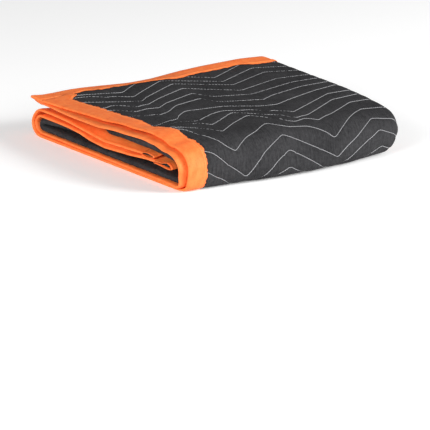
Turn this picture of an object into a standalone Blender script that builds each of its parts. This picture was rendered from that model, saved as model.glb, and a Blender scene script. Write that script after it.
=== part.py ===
"""A folded moving pad: one quilted sheet, bound on all four edges, folded in four and then in three.

The sheet is first folded in four across X (a pack of four layers, its free side edges on the left),
then the pack is rolled in three along Y, from the free end at the back over the near fold, along the
ground and round the back fold into the middle. Lengths here are in millimetres; the mesh is in metres.
+Z is up, the near fold faces -Y and the free side edges face -X.
"""
import bmesh
import bpy
import numpy as np

MM = 0.001

# Layer build-up, from the inner layer of the pack (0) to the outer one (3).
PITCH = 8.86
HALF_BODY = 2.75
HALF_EDGE = 1.45
GAP = 0.3
STRIP_THICK = 1.0
STRIP_WIDTH = 43.0
SHOULDER = 8.0

# The rolled path of the outer layer, seen from the left: station lengths along the sheet.
TOP_RUN, NEAR_ARC, LOW_RUN, BACK_ARC, MID_RUN = 539.0, 172.0, 498.0, 101.0, 439.0
RUNS = (TOP_RUN, NEAR_ARC, LOW_RUN, BACK_ARC, MID_RUN)
SHEET_LENGTH = sum(RUNS)
NEAR_Y, BACK_Y = -221.0, 279.0
NEAR_STRETCH, BACK_STRETCH = 1.25, 1.12
NEAR_SQUARENESS_LEFT, NEAR_SQUARENESS_RIGHT = 0.86, 1.05
FOOT_SQUARENESS_LEFT, FOOT_SQUARENESS_RIGHT = 0.6, 0.85
TOP_EDGE_Y_LEFT, TOP_EDGE_Y_RIGHT = 319.0, 224.0

# Where the middle run stops: by layer 0 to 3 on the left, the same for all four on the right.
MID_END_LEFT = (-232.0, -228.0, -212.0, -162.0)
MID_END_RIGHT = -215.0

# Positions across the pack, one row per place along the roll.
ACROSS_COLUMNS = ("station", "edge_outer", "edge_second", "loop", "fold_inner", "fold_outer")
ACROSS = (
    (0.0, -256.0, -258.0, -196.0, 234.0, 281.0),
    (100.0, -256.0, -262.0, -198.0, 234.0, 279.0),
    (200.0, -257.0, -274.0, -212.0, 234.0, 277.0),
    (300.0, -257.0, -278.0, -250.0, 233.0, 277.0),
    (539.0, -257.0, -275.0, -256.0, 230.0, 276.0),
    (625.0, -257.0, -273.0, -254.0, 218.0, 262.0),
    (711.0, -260.0, -264.0, -253.0, 210.0, 250.0),
    (1209.0, -262.0, -258.0, -252.0, 210.0, 250.0),
    (1310.0, -261.0, -260.0, -250.0, 212.0, 252.0),
    (1430.0, -261.0, -261.0, -226.0, 212.0, 252.0),
    (1749.0, -261.0, -262.0, -224.0, 214.0, 252.0),
)

# Heights of the twelve layer middles at the left end face, lowest first, at places along Y.
FACE_PLACES_Y = (-221.0, -180.0, -140.0, -60.0, 50.0, 230.0, 319.0)
FACE_LEVELS = (
    (2.75, 9.3, 15.6, 22.0, 28.4, 34.8, 41.5, 50.5, 60.0, 69.0, 79.0, 87.0),
    (2.75, 9.3, 15.6, 22.0, 28.4, 34.8, 42.0, 53.0, 63.5, 74.0, 86.0, 95.5),
    (2.75, 9.3, 15.8, 22.3, 28.8, 35.3, 43.0, 55.0, 65.5, 77.0, 88.5, 98.5),
    (2.75, 9.3, 15.6, 22.0, 28.4, 34.8, 42.0, 57.0, 66.0, 75.0, 86.0, 96.0),
    (2.75, 9.3, 15.6, 22.0, 28.4, 34.8, 42.0, 56.0, 62.5, 69.5, 79.5, 88.5),
    (2.75, 9.3, 16.0, 23.5, 31.0, 38.5, 47.5, 58.5, 64.5, 70.0, 75.5, 82.0),
    (2.75, 9.3, 16.0, 23.5, 31.0, 38.5, 47.5, 58.5, 63.5, 69.0, 74.5, 81.0),
)
FACE_X, FACE_DEPTH = -262.0, 55.0
HEIGHT_FRONT, HEIGHT_BACK_RIGHT, HEIGHT_BACK_LEFT = 101.0, 118.0, 88.0

# How much further the foot of the near fold stands out, at places along X.
FOOT_PLACES_X = (-256.0, -201.0, -141.0, -54.0, 46.0, 165.0, 274.0)
FOOT_BULGE = (-6.0, -4.0, 4.0, 16.0, 18.0, 4.0, -8.0)

# How far the right side stands above those heights, at places along Y.
RIGHT_PLACES_Y = (-250.0, -221.0, -182.0, -147.0, -77.0, 68.0, 319.0)
RIGHT_RISE = (-8.0, -7.0, -2.5, 0.5, 3.5, 4.5, 4.0)

# How far the free edge at the back of the top sags, at places along X.
SAG_PLACES_X = (-256.0, -195.0, -103.0, -33.0, 14.0, 50.0, 85.0, 133.0, 229.0, 287.0)
EDGE_SAG = (-2.5, -5.0, -6.5, -9.0, -7.5, -4.0, -0.7, 1.5, 3.5, 1.0)
SAG_REACH = 36.0
SAG_LEVELS = (5.0, 6.0, 7.0, 8.0, 9.0, 10.0, 11.0)
SAG_SHARES = (0.0, 0.2, 0.4, 0.6, 0.6, 0.8, 1.0)

# How far the two middle bound edges droop at the left end face, at places along Y.
DROOP_PLACES_Y = (-221.0, -140.0, -60.0, 25.0, 83.0, 122.0, 161.0, 230.0)
LOWER_DROOP = (-3.0, -0.5, -4.5, -9.0, -5.5, -0.5, 0.5, 0.0)
UPPER_DROOP = (-1.0, -3.5, -8.0, -10.5, -5.5, -2.5, 0.5, 2.5)
DROOP_REACH = 18.0

# Soft troughs and ridges of the upper layers: centre, half sizes, turn in degrees and rise.
CREASE_COLUMNS = ("x", "y", "along", "aside", "turn", "rise")
CREASES = (
    (-208.0, -79.0, 34.0, 28.0, 0.0, -6.0),
    (-205.0, -168.0, 36.0, 30.0, 0.0, 7.0),
    (-128.0, -92.0, 42.0, 24.0, 12.0, -5.0),
)

# The zigzag quilting raised on the outer layer.
ROW_SPACING, FIRST_CREST = 44.0, 75.0
ZIGZAG_HALF_WAVE = 115.0
ZIGZAG_RISE = 78.0
ZIGZAG_PEAK_X = -8.0
QUILT_RELIEF = 1.4
QUILT_ROWS_END = 660.0
ZIGZAG_FADE_IN, ZIGZAG_FADE_OUT = (60.0, 150.0), (660.0, 860.0)

# Rough lengths round the section: outer pass, fold, under pass, loop, over pass, fold, second pass.
PASS_LENGTHS = (529.0, 42.0, 500.0, 14.0, 450.0, 14.0, 500.0)
FIRST_PASS, SECOND_PASS = PASS_LENGTHS[0], PASS_LENGTHS[6]
FIRST_STRIP_PLACE = STRIP_WIDTH / FIRST_PASS
SECOND_STRIP_PLACE = 7.0 - STRIP_WIDTH / SECOND_PASS

# Mesh columns: shares of each part of the section across the pack, closer together near the left.
COLUMN_SHARES = {
    "outer fold": (0.0, 0.25, 0.5, 0.75),
    "under pass": (0.0, 0.3, 0.45, 0.6, 0.8, 0.92),
    "loop": (0.0, 0.25, 0.5, 0.75),
    "over pass": (0.0, 0.1, 0.22, 0.4, 0.55, 0.75),
    "inner fold": (0.0, 0.25, 0.5, 0.75),
    "second pass": (0.0, 0.2, 0.3, 0.4, 0.53, 0.67, 0.82),
}
FAR_STATIONS = (
    638.0, 650.0, 661.0, 669.0, 676.0, 683.0, 690.0, 697.0, 711.0, 740.0, 800.0, 900.0,
    1000.0, 1100.0, 1180.0, 1209.0, 1222.0, 1238.0, 1260.0, 1281.0, 1297.0, 1310.0, 1360.0,
    1430.0, 1500.0, 1570.0, 1640.0,
)
NORMAL_STEP = 0.4

CLOTH_COLOR = (0.055, 0.055, 0.06)
BINDING_COLOR = (0.9, 0.25, 0.04)


def lerp(low, high, share):
    return low + (high - low) * share


def smooth(share):
    share = np.clip(share, 0.0, 1.0)
    return share * share * (3.0 - 2.0 * share)


def across(station, column):
    """Position across the pack of one named line, at a station along the roll."""
    table = np.array(ACROSS)
    return np.interp(station, table[:, 0], table[:, ACROSS_COLUMNS.index(column)])


def section(station, place):
    """X and layer position at a place (0 to 7) round the four-layer section."""
    part = np.clip(np.floor(place), 0, 6)
    share = place - part
    edge_outer = across(station, "edge_outer")
    edge_second = across(station, "edge_second")
    loop = across(station, "loop")
    fold_inner = across(station, "fold_inner")
    fold_outer = across(station, "fold_outer")
    turn = np.pi * share
    x = np.select(
        [part == 0, part == 1, part == 2, part == 3, part == 4, part == 5, part == 6],
        [
            lerp(edge_outer, fold_outer, share),
            fold_outer + 1.5 * PITCH * np.sin(turn),
            lerp(fold_outer, loop, share),
            loop - 0.5 * PITCH * np.sin(turn),
            lerp(loop, fold_inner, share),
            fold_inner + 0.5 * PITCH * np.sin(turn),
            lerp(fold_inner, edge_second, share),
        ],
    )
    layer = np.select(
        [part == 0, part == 1, part == 2, part == 3, part == 4, part == 5, part == 6],
        [
            3.0 + 0.0 * share,
            1.5 + 1.5 * np.cos(turn),
            0.0 * share,
            0.5 - 0.5 * np.cos(turn),
            1.0 + 0.0 * share,
            1.5 - 0.5 * np.cos(turn),
            2.0 + 0.0 * share,
        ],
    )
    return x, layer


def squared(value, power):
    return np.sign(value) * np.abs(value) ** power


def even_turns(upper_power, foot_power):
    """Shares of the near fold's length, and the turn angle at each."""
    turn = np.pi * smooth(np.linspace(0.0, 1.0, 1001))
    power = np.where(turn < 0.5 * np.pi, upper_power, foot_power)
    y = NEAR_STRETCH * squared(np.sin(turn), power)
    level = squared(np.cos(turn), power)
    length = np.cumsum(np.hypot(np.diff(y, prepend=y[0]), np.diff(level, prepend=level[0])))
    return length / length[-1], turn


TURNS_LEFT = even_turns(NEAR_SQUARENESS_LEFT, FOOT_SQUARENESS_LEFT)
TURNS_RIGHT = even_turns(NEAR_SQUARENESS_RIGHT, FOOT_SQUARENESS_RIGHT)


def roll(station, x, layer):
    """Y and level (0 to 11) of a layer at a station along the roll."""
    ends = np.cumsum((0.0,) + RUNS)
    part = np.clip(np.searchsorted(ends, station, side="right") - 1, 0, 4)
    share = (station - ends[part]) / np.array(RUNS)[part]
    right = np.clip((x + 256.0) / 530.0, 0.0, 1.0)
    to_right = smooth(4.0 * right - 3.0)
    even = lerp(np.interp(share, *TURNS_LEFT), np.interp(share, *TURNS_RIGHT), to_right)
    turn = np.where(part == 1, even, np.pi * share)
    start_y = lerp(TOP_EDGE_Y_LEFT, TOP_EDGE_Y_RIGHT, right)
    end_y = lerp(np.interp(layer, (0, 1, 2, 3), MID_END_LEFT), MID_END_RIGHT, smooth(right * 1.3))
    near_radius = 2.5 + layer
    back_radius = 0.5 + layer
    upper_power = lerp(NEAR_SQUARENESS_LEFT, NEAR_SQUARENESS_RIGHT, right * right)
    foot_power = lerp(FOOT_SQUARENESS_LEFT, FOOT_SQUARENESS_RIGHT, to_right)
    power = np.where(turn < 0.5 * np.pi, upper_power, foot_power)
    bulge = np.interp(x, FOOT_PLACES_X, FOOT_BULGE) * (near_radius / 5.5) ** 2
    bulge = bulge * smooth(3.0 * share - 1.0)
    y = np.select(
        [part == 0, part == 1, part == 2, part == 3, part == 4],
        [
            lerp(start_y, NEAR_Y, share),
            NEAR_Y - (NEAR_STRETCH * PITCH * near_radius + bulge) * squared(np.sin(turn), power),
            lerp(NEAR_Y, BACK_Y, share),
            BACK_Y + BACK_STRETCH * PITCH * back_radius * np.sin(turn),
            lerp(BACK_Y, end_y, share),
        ],
    )
    level = np.select(
        [part == 0, part == 1, part == 2, part == 3, part == 4],
        [
            5.5 + near_radius,
            5.5 + near_radius * squared(np.cos(turn), power),
            5.5 - near_radius,
            3.5 - back_radius * np.cos(turn),
            3.5 + back_radius,
        ],
    )
    return y, level


def sagged(x, y, level):
    """Rise of the right side, sag of the top's free back edge and droop of the middle bound edges."""
    right = np.clip((x + 256.0) / 530.0, 0.0, 1.0)
    from_below = np.clip(level / 11.0, 0.0, 1.0)
    rise = np.interp(y, RIGHT_PLACES_Y, RIGHT_RISE) * smooth(2.0 * right - 1.0) * from_below
    edge_y = lerp(TOP_EDGE_Y_LEFT, TOP_EDGE_Y_RIGHT, right)
    edge = np.interp(x, SAG_PLACES_X, EDGE_SAG) * np.exp(-(((y - edge_y) / SAG_REACH) ** 2))
    edge = edge * np.interp(level, SAG_LEVELS, SAG_SHARES)
    face = np.exp(-np.clip((x - FACE_X) / DROOP_REACH, 0.0, None) ** 2)
    lower = np.interp(y, DROOP_PLACES_Y, LOWER_DROOP) * np.clip(1.0 - np.abs(level - 6.0), 0.0, 1.0)
    upper = np.interp(y, DROOP_PLACES_Y, UPPER_DROOP) * np.clip(1.0 - np.abs(level - 7.0), 0.0, 1.0)
    return rise + edge + face * (lower + upper)


def height(x, y, level):
    """Z of a level: evenly stacked inside, as the end face shows it towards the left."""
    back = np.clip((y - NEAR_Y) / (TOP_EDGE_Y_LEFT - NEAR_Y), 0.0, 1.0)
    right = np.clip((x + 256.0) / 530.0, 0.0, 1.0)
    full = lerp(HEIGHT_FRONT, lerp(HEIGHT_BACK_LEFT, HEIGHT_BACK_RIGHT, right), back)
    inside = HALF_BODY + level * (full - 2.0 * HALF_BODY) / 11.0
    by_place = np.array([np.interp(level, range(12), row) for row in FACE_LEVELS])
    slot = np.interp(y, FACE_PLACES_Y, range(len(FACE_PLACES_Y)))
    low = np.clip(np.floor(slot).astype(int), 0, len(FACE_PLACES_Y) - 2)
    index = np.arange(level.size)
    flat = by_place.reshape(len(FACE_PLACES_Y), -1)
    lower = flat[low.ravel(), index].reshape(level.shape)
    upper = flat[low.ravel() + 1, index].reshape(level.shape)
    face = lerp(lower, upper, smooth(slot - low))
    near_face = np.exp(-np.clip((x - FACE_X) / FACE_DEPTH, 0.0, None) ** 2)
    return lerp(inside, face, near_face) + sagged(x, y, level)


def pressed(x, y, level):
    """How far the troughs and ridges lift a point; the layers below follow less and less."""
    rise = np.zeros_like(x)
    for centre_x, centre_y, along, aside, turn, depth in CREASES:
        angle = np.radians(turn)
        east, north = x - centre_x, y - centre_y
        lengthwise = east * np.cos(angle) + north * np.sin(angle)
        sideways = north * np.cos(angle) - east * np.sin(angle)
        rise = rise + depth * np.exp(-((lengthwise / along) ** 2) - (sideways / aside) ** 2)
    return rise * np.clip((level - 3.0) / 8.0, 0.0, 1.0)


def middle(station, place):
    """Point of the sheet's middle surface."""
    x, layer = section(station, place)
    y, level = roll(station, x, layer)
    return np.stack([x, y, height(x, y, level) + pressed(x, y, level)], axis=-1)


def outward(station, place):
    """Unit normal of the middle surface, away from the inside of the roll."""
    step = NORMAL_STEP
    reach = step / np.array(PASS_LENGTHS)[np.clip(np.floor(place).astype(int), 0, 6)]
    along = middle(station + step, place) - middle(station - step, place)
    around = middle(station, place + reach) - middle(station, place - reach)
    normal = np.cross(along, around)
    return normal / np.linalg.norm(normal, axis=-1, keepdims=True)


def zigzag(x):
    """Zigzag offset along the sheet at X, from -0.5 to 0.5."""
    phase = (x - ZIGZAG_PEAK_X) / ZIGZAG_HALF_WAVE
    return np.abs((phase % 2.0) - 1.0) - 0.5


def sheet_stations():
    """Stations of the sheet's rows, and how far each stands out as a quilted crest."""
    rows = [(0.0, 0.0), (STRIP_WIDTH, 0.0), (STRIP_WIDTH + SHOULDER, 0.0)]
    crest = FIRST_CREST
    while crest < QUILT_ROWS_END - ROW_SPACING:
        rows.append((crest, 1.0))
        rows.append((crest + 0.5 * ROW_SPACING, 0.0))
        crest += ROW_SPACING
    inner_edge = (SHEET_LENGTH - STRIP_WIDTH - SHOULDER, SHEET_LENGTH - STRIP_WIDTH, SHEET_LENGTH)
    return rows + [(station, 0.0) for station in FAR_STATIONS + inner_edge]


def column_places():
    """Places round the section of the sheet's columns; the outer layer's follow the zigzag."""
    places = [0.0, FIRST_STRIP_PLACE, (STRIP_WIDTH + SHOULDER) / FIRST_PASS]
    x = ZIGZAG_PEAK_X - 2.0 * ZIGZAG_HALF_WAVE
    while x < FACE_X + FIRST_PASS - 5.0:
        share = (x - FACE_X - 5.0) / FIRST_PASS
        if share > places[-1] + 0.02:
            places.append(share)
        x += ZIGZAG_HALF_WAVE / 3.0
    for number, shares in enumerate(COLUMN_SHARES.values(), start=1):
        places += [number + share for share in shares]
    places += [7.0 - (STRIP_WIDTH + SHOULDER) / SECOND_PASS, SECOND_STRIP_PLACE, 7.0]
    return sorted(set(round(place, 5) for place in places))


def shifted(stations, places):
    """Station of every grid point: rows on the outer layer's quilted part follow the zigzag."""
    station, place = np.meshgrid(stations, places, indexing="ij")
    x, _ = section(station, place)
    rise, fall = ZIGZAG_FADE_IN, ZIGZAG_FADE_OUT
    in_rows = smooth((station - rise[0]) / (rise[1] - rise[0]))
    in_rows = in_rows * smooth((fall[1] - station) / (fall[1] - fall[0]))
    on_layer = smooth((x + 205.0) / 12.0) * (place < 1.0) + smooth(2.0 - place) * (place >= 1.0)
    return station - ZIGZAG_RISE * zigzag(x) * in_rows * on_layer, place


def edge_share(station, place):
    """1 under a binding strip, 0 on the open cloth."""
    at_side = (place <= FIRST_STRIP_PLACE + 1e-4) | (place >= SECOND_STRIP_PLACE - 1e-4)
    at_end = (station <= STRIP_WIDTH + 1e-3) | (station >= SHEET_LENGTH - STRIP_WIDTH - 1e-3)
    return np.where(at_side | at_end, 1.0, 0.0)


def add_object(name, points, faces, material):
    mesh = bpy.data.meshes.new(name)
    mesh.from_pydata([tuple(point) for point in points * MM], [], faces)
    body = bmesh.new()
    body.from_mesh(mesh)
    bmesh.ops.triangulate(body, faces=body.faces, quad_method="FIXED")
    bmesh.ops.recalc_face_normals(body, faces=body.faces)
    body.to_mesh(mesh)
    body.free()
    mesh.materials.append(material)
    mesh.update()
    made = bpy.data.objects.new(name, mesh)
    bpy.context.scene.collection.objects.link(made)
    return made


def fabric(name, color):
    material = bpy.data.materials.new(name)
    material.use_nodes = True
    shader = material.node_tree.nodes["Principled BSDF"]
    shader.inputs["Base Color"].default_value = (*color, 1.0)
    shader.inputs["Roughness"].default_value = 0.9
    return material


def sheet_mesh():
    """The quilted sheet as a closed shell: outer face, inner face and its four edges.

    Each cell is split along the diagonal whose ends lie nearest along the roll, the same on both faces.
    """
    rows = sheet_stations()
    stations = np.array([row[0] for row in rows])
    crest = np.array([row[1] for row in rows])
    station, place = shifted(stations, column_places())
    centre = middle(station, place)
    normal = outward(station, place)
    half = lerp(HALF_BODY, HALF_EDGE, edge_share(station, place))
    open_cloth = (place > 0.12) & (place < 0.985)
    relief = QUILT_RELIEF * crest[:, None] * open_cloth
    outer = centre + normal * (half + relief)[..., None]
    inner = centre - normal * half[..., None]
    count_rows, count_columns = station.shape
    points = np.concatenate([outer.reshape(-1, 3), inner.reshape(-1, 3)])
    size = count_rows * count_columns

    def at(row, column, side):
        return side * size + row * count_columns + column

    faces = []
    for row in range(count_rows - 1):
        for column in range(count_columns - 1):
            near, far = column, column + 1
            corners = ((row, near), (row + 1, near), (row + 1, far), (row, far))
            straight = abs(station[corners[0]] - station[corners[2]])
            crossed = abs(station[corners[1]] - station[corners[3]])
            if crossed < straight - 1.0:
                corners = corners[1:] + corners[:1]
            faces.append(tuple(at(*corner, 0) for corner in corners))
            first, second, third, fourth = corners
            faces.append(tuple(at(*corner, 1) for corner in (first, fourth, third, second)))
        for column in (0, count_columns - 1):
            after = row + 1
            corners = ((row, 0), (row, 1), (after, 1), (after, 0))
            faces.append(tuple(at(line, column, side) for line, side in corners))
    for column in range(count_columns - 1):
        for row in (0, count_rows - 1):
            after = column + 1
            corners = ((column, 0), (after, 0), (after, 1), (column, 1))
            faces.append(tuple(at(row, line, side) for line, side in corners))
    return points, faces


def sweep(rings, wide_is_low):
    """A closed ring of points swept along a strip, with flat ends; diagonals run as the sheet's do."""
    count, size = len(rings), len(rings[0])
    points = np.concatenate(rings)
    faces = []
    for ring in range(count - 1):
        for corner in range(size):
            after = (corner + 1) % size
            first, second = ring * size, (ring + 1) * size
            if (corner % 4 == 2) != wide_is_low:
                faces.append((first + corner, first + after, second + after))
                faces.append((first + corner, second + after, second + corner))
            else:
                faces.append((first + corner, first + after, second + corner))
                faces.append((first + after, second + after, second + corner))
    last = (count - 1) * size
    for start in (0, last):
        for corner in range(size // 2 - 1):
            other = start + size - 1 - corner
            faces.append((start + corner, start + corner + 1, other - 1, other))
    return points, faces


def strip_ring(points_at, normals_at):
    """U section of a binding: both faces, wrapped round the edge, seen at one station."""
    inside, outside = HALF_EDGE + GAP, HALF_EDGE + GAP + STRIP_THICK
    wide, edge_in, edge_out = points_at
    wide_n, edge_n, _ = normals_at
    return np.array([
        wide + wide_n * outside,
        edge_out + edge_n * outside,
        edge_out - edge_n * outside,
        wide - wide_n * outside,
        wide - wide_n * inside,
        edge_in - edge_n * inside,
        edge_in + edge_n * inside,
        wide + wide_n * inside,
    ])


def side_strip(first_side):
    """Binding over a side edge, between the two end strips."""
    stations = [row[0] for row in sheet_stations()]
    start, stop = STRIP_WIDTH + GAP, SHEET_LENGTH - STRIP_WIDTH - GAP
    stations = [start] + [value for value in stations if start + 5.0 < value < stop - 5.0] + [stop]
    length = FIRST_PASS if first_side else SECOND_PASS
    base, sign = (0.0, 1.0) if first_side else (7.0, -1.0)
    offsets = np.array([STRIP_WIDTH, -GAP, -GAP - STRIP_THICK]) / length
    rings = []
    for station in stations:
        place = base + sign * offsets
        at = np.full(3, station)
        rings.append(strip_ring(middle(at, place), outward(at, np.clip(place, 0.0, 6.9999))))
    return sweep(rings, not first_side)


def end_strip(at_start):
    """Binding over an end edge, running on through both corners."""
    inner_edge = 0.0 if at_start else SHEET_LENGTH
    sign = 1.0 if at_start else -1.0
    reach = inner_edge + sign * np.array([STRIP_WIDTH, -GAP, -GAP - STRIP_THICK])
    wrap = GAP + STRIP_THICK
    places = [-wrap / FIRST_PASS] + column_places()[1:-1] + [7.0 + wrap / SECOND_PASS]
    rings = []
    for place in places:
        at = np.full(3, place)
        normals = outward(np.clip(reach, 0.5, SHEET_LENGTH - 0.5), np.clip(at, 0.0, 6.9999))
        rings.append(strip_ring(middle(reach, at), normals))
    return sweep(rings, not at_start)


for item in list(bpy.data.objects):
    bpy.data.objects.remove(item, do_unlink=True)

pieces = {
    "quilted_pad": sheet_mesh(),
    "binding_end_outer": end_strip(True),
    "binding_end_inner": end_strip(False),
    "binding_side_first": side_strip(True),
    "binding_side_second": side_strip(False),
}
everything = np.concatenate([points for points, _ in pieces.values()])
low, high = everything.min(axis=0), everything.max(axis=0)
origin = np.array([(low[0] + high[0]) / 2.0, (low[1] + high[1]) / 2.0, low[2]])
for name, (points, faces) in pieces.items():
    color = CLOTH_COLOR if name == "quilted_pad" else BINDING_COLOR
    add_object(name, points - origin, faces, fabric(name + "_fabric", color))
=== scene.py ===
"""Looks of a folded moving pad: quilted cloth, bound edges, sewing thread, studio light and camera.

The pad is one quilted sheet, folded in four across X and then rolled in three along Y. Every
point of it has a station (the length along the roll, from the free end that shows on top) and a
place (0 to 7, round the four-layer section, from the side edge that shows on the left). Lengths
are in millimetres and meshes in metres. +Z is up, the near fold faces -Y and the free side edges
face -X.
"""

import bpy
import numpy as np
from mathutils import Matrix, Vector

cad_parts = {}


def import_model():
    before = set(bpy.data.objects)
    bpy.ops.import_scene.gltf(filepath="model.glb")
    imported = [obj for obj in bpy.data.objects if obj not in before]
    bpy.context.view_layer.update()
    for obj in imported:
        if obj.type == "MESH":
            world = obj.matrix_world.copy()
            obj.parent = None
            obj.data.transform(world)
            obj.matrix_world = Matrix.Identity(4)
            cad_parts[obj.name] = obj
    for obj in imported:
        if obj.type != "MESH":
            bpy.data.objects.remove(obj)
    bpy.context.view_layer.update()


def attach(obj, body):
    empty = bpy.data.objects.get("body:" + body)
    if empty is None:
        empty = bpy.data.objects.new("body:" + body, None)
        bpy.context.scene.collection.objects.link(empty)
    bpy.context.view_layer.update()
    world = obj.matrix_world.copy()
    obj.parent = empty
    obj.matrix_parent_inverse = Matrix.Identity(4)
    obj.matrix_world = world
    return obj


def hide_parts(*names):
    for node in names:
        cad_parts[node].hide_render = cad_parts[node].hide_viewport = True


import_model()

MM = 0.001
ORIGIN = np.array([8.956, 10.661, 0.0])

# Layer build-up, from the inner layer of the pack (0) to the outer one (3). Rolled up, the twelve
# layers lie at levels 0 to 11.
PITCH = 8.86
OUTER_LAYER, TOP_LEVEL = 3.0, 11.0
HALF_BODY = 2.75
HALF_EDGE = 1.45
STRIP_WIDTH = 43.0
SHOULDER = 7.0

# The pack's left side, and how far off its right side lies.
LEFT_SIDE_X, SIDE_TO_SIDE = -256.0, 530.0

# The rolled path of the outer layer, seen from the left: lengths of the top, the near fold, the
# low run, the back fold and the middle run.
RUNS = (539.0, 172.0, 498.0, 101.0, 439.0)
SHEET_LENGTH = sum(RUNS)
NEAR_Y, BACK_Y = -221.0, 279.0
# The levels that the two folds turn about, and the radius of layer 0 there in layers.
NEAR_CENTRE, BACK_CENTRE = 5.5, 3.5
NEAR_RADIUS, BACK_RADIUS = 2.5, 0.5
NEAR_STRETCH, BACK_STRETCH = 1.25, 1.12
# At the left and at the right side.
NEAR_SQUARENESS, FOOT_SQUARENESS = (0.86, 1.05), (0.45, 0.85)
TOP_EDGE_Y = (319.0, 224.0)
MID_END_LEFT = (-232, -228, -212, -162)
MID_END_RIGHT = -215.0
MID_END_EVENING = 1.3

# Positions across the pack, one row per station.
ACROSS_COLUMNS = ("station", "edge_outer", "edge_second", "loop", "fold_inner", "fold_outer")
ACROSS = (
    (0, -260, -251, -196, 234, 281),
    (100, -256, -262, -198, 234, 279),
    (200, -257, -274, -212, 234, 277),
    (300, -257, -278, -250, 233, 277),
    (539, -257, -275, -256, 230, 276),
    (625, -257, -273, -254, 218, 262),
    (711, -260, -264, -253, 210, 250),
    (1209, -262, -258, -252, 210, 250),
    (1310, -261, -260, -250, 212, 252),
    (1430, -261, -261, -226, 212, 252),
    (1749, -261, -262, -224, 214, 252),
)

# Heights of the twelve layer middles at the left end face, lowest first, at places along Y.
FACE_PLACES_Y = (-221, -180, -140, -60, 50, 230, 319)
FACE_LEVELS = (
    (2.75, 9.3, 15.6, 22.0, 28.4, 34.8, 46.0, 53.0, 60.5, 69.0, 79.0, 87.0),
    (2.75, 9.3, 15.6, 22.0, 28.4, 34.8, 46.0, 55.0, 64.0, 74.0, 86.0, 95.5),
    (2.75, 9.3, 15.8, 22.3, 28.8, 35.3, 44.0, 55.5, 65.5, 77.0, 88.5, 98.5),
    (2.75, 9.3, 15.6, 22.0, 28.4, 34.8, 42.0, 57.0, 66.0, 75.0, 86.0, 96.0),
    (2.75, 9.3, 15.6, 22.0, 28.4, 34.8, 42.0, 56.0, 62.5, 69.5, 79.5, 88.5),
    (2.75, 9.3, 16.0, 23.5, 31.0, 38.5, 47.5, 58.5, 64.5, 70.0, 75.5, 82.0),
    (2.75, 9.3, 16.0, 23.5, 31.0, 38.5, 47.5, 58.5, 63.5, 69.0, 74.5, 81.0),
)
FACE_X, FACE_DEPTH = -262.0, 55.0
HEIGHT_FRONT, HEIGHT_BACK = 101.0, (88.0, 118.0)

# How much further the foot of the near fold stands out, at places along X.
FOOT_BULGES = (
    (-256, -201, -141, -54, 46, 165, 274),
    (-6, -4, 4, 16, 18, 4, -8),
)

# How far the right side stands above those heights, at places along Y.
RIGHT_RISES = (
    (-250, -221, -182, -147, -77, 68, 319),
    (-8.0, -7.0, -2.5, 0.5, 3.5, 4.5, 4.0),
)

# How far the free edge at the back of the top sags, at places along X.
EDGE_SAGS = (
    (-256, -195, -103, -33, 14, 50, 85, 133, 229, 287),
    (-2.5, -5.0, -6.5, -9.0, -7.5, -4.0, -0.7, 1.5, 3.5, 1.0),
)
SAG_REACH = 36.0
SAG_BY_LEVEL = (
    (5, 6, 7, 8, 9, 10, 11),
    (0.0, 0.2, 0.4, 0.6, 0.6, 0.8, 1.0),
)

# How far the two middle bound edges droop at the left end face, at places along Y.
DROOP_PLACES_Y = (-221, -140, -60, 25, 83, 122, 161, 230)
DROOPS = (
    # level, then the droop at each place
    (6.0, (-3.0, -0.5, -4.5, -9.0, -5.5, -0.5, 0.5, 0.0)),
    (7.0, (-1.0, -3.5, -8.0, -10.5, -5.5, -2.5, 0.5, 2.5)),
)
DROOP_REACH = 18.0

# Lengths round the section: outer pass, fold, under pass, loop, over pass, fold, second pass.
PASS_LENGTHS = (529.0, 42.0, 500.0, 14.0, 450.0, 14.0, 500.0)
PASS_STARTS = np.cumsum((0.0,) + PASS_LENGTHS)
SHEET_WIDTH = sum(PASS_LENGTHS)
FIRST_PASS, SECOND_PASS = PASS_LENGTHS[0], PASS_LENGTHS[6]
# The place of the second side edge, the last place inside it, and the reach and inset of normals.
SECOND_EDGE, LAST_PLACE = 7.0, 6.9999
NORMAL_STEP, NORMAL_INSET = 0.4, 0.5
LEFT_X = -256.5

# Those seven parts: the named lines they run between, mean layer, how far the layer swings from it
# round a fold, and how far the fold stands out to +X, in layers.
SECTION_PARTS = (
    ("edge_outer", "fold_outer", 3.0, 0.0, 0.0),
    ("fold_outer", "fold_outer", 1.5, 1.5, 1.5),
    ("fold_outer", "loop", 0.0, 0.0, 0.0),
    ("loop", "loop", 0.5, -0.5, -0.5),
    ("loop", "fold_inner", 1.0, 0.0, 0.0),
    ("fold_inner", "fold_inner", 1.5, -0.5, 0.5),
    ("fold_inner", "edge_second", 2.0, 0.0, 0.0),
)

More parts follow.
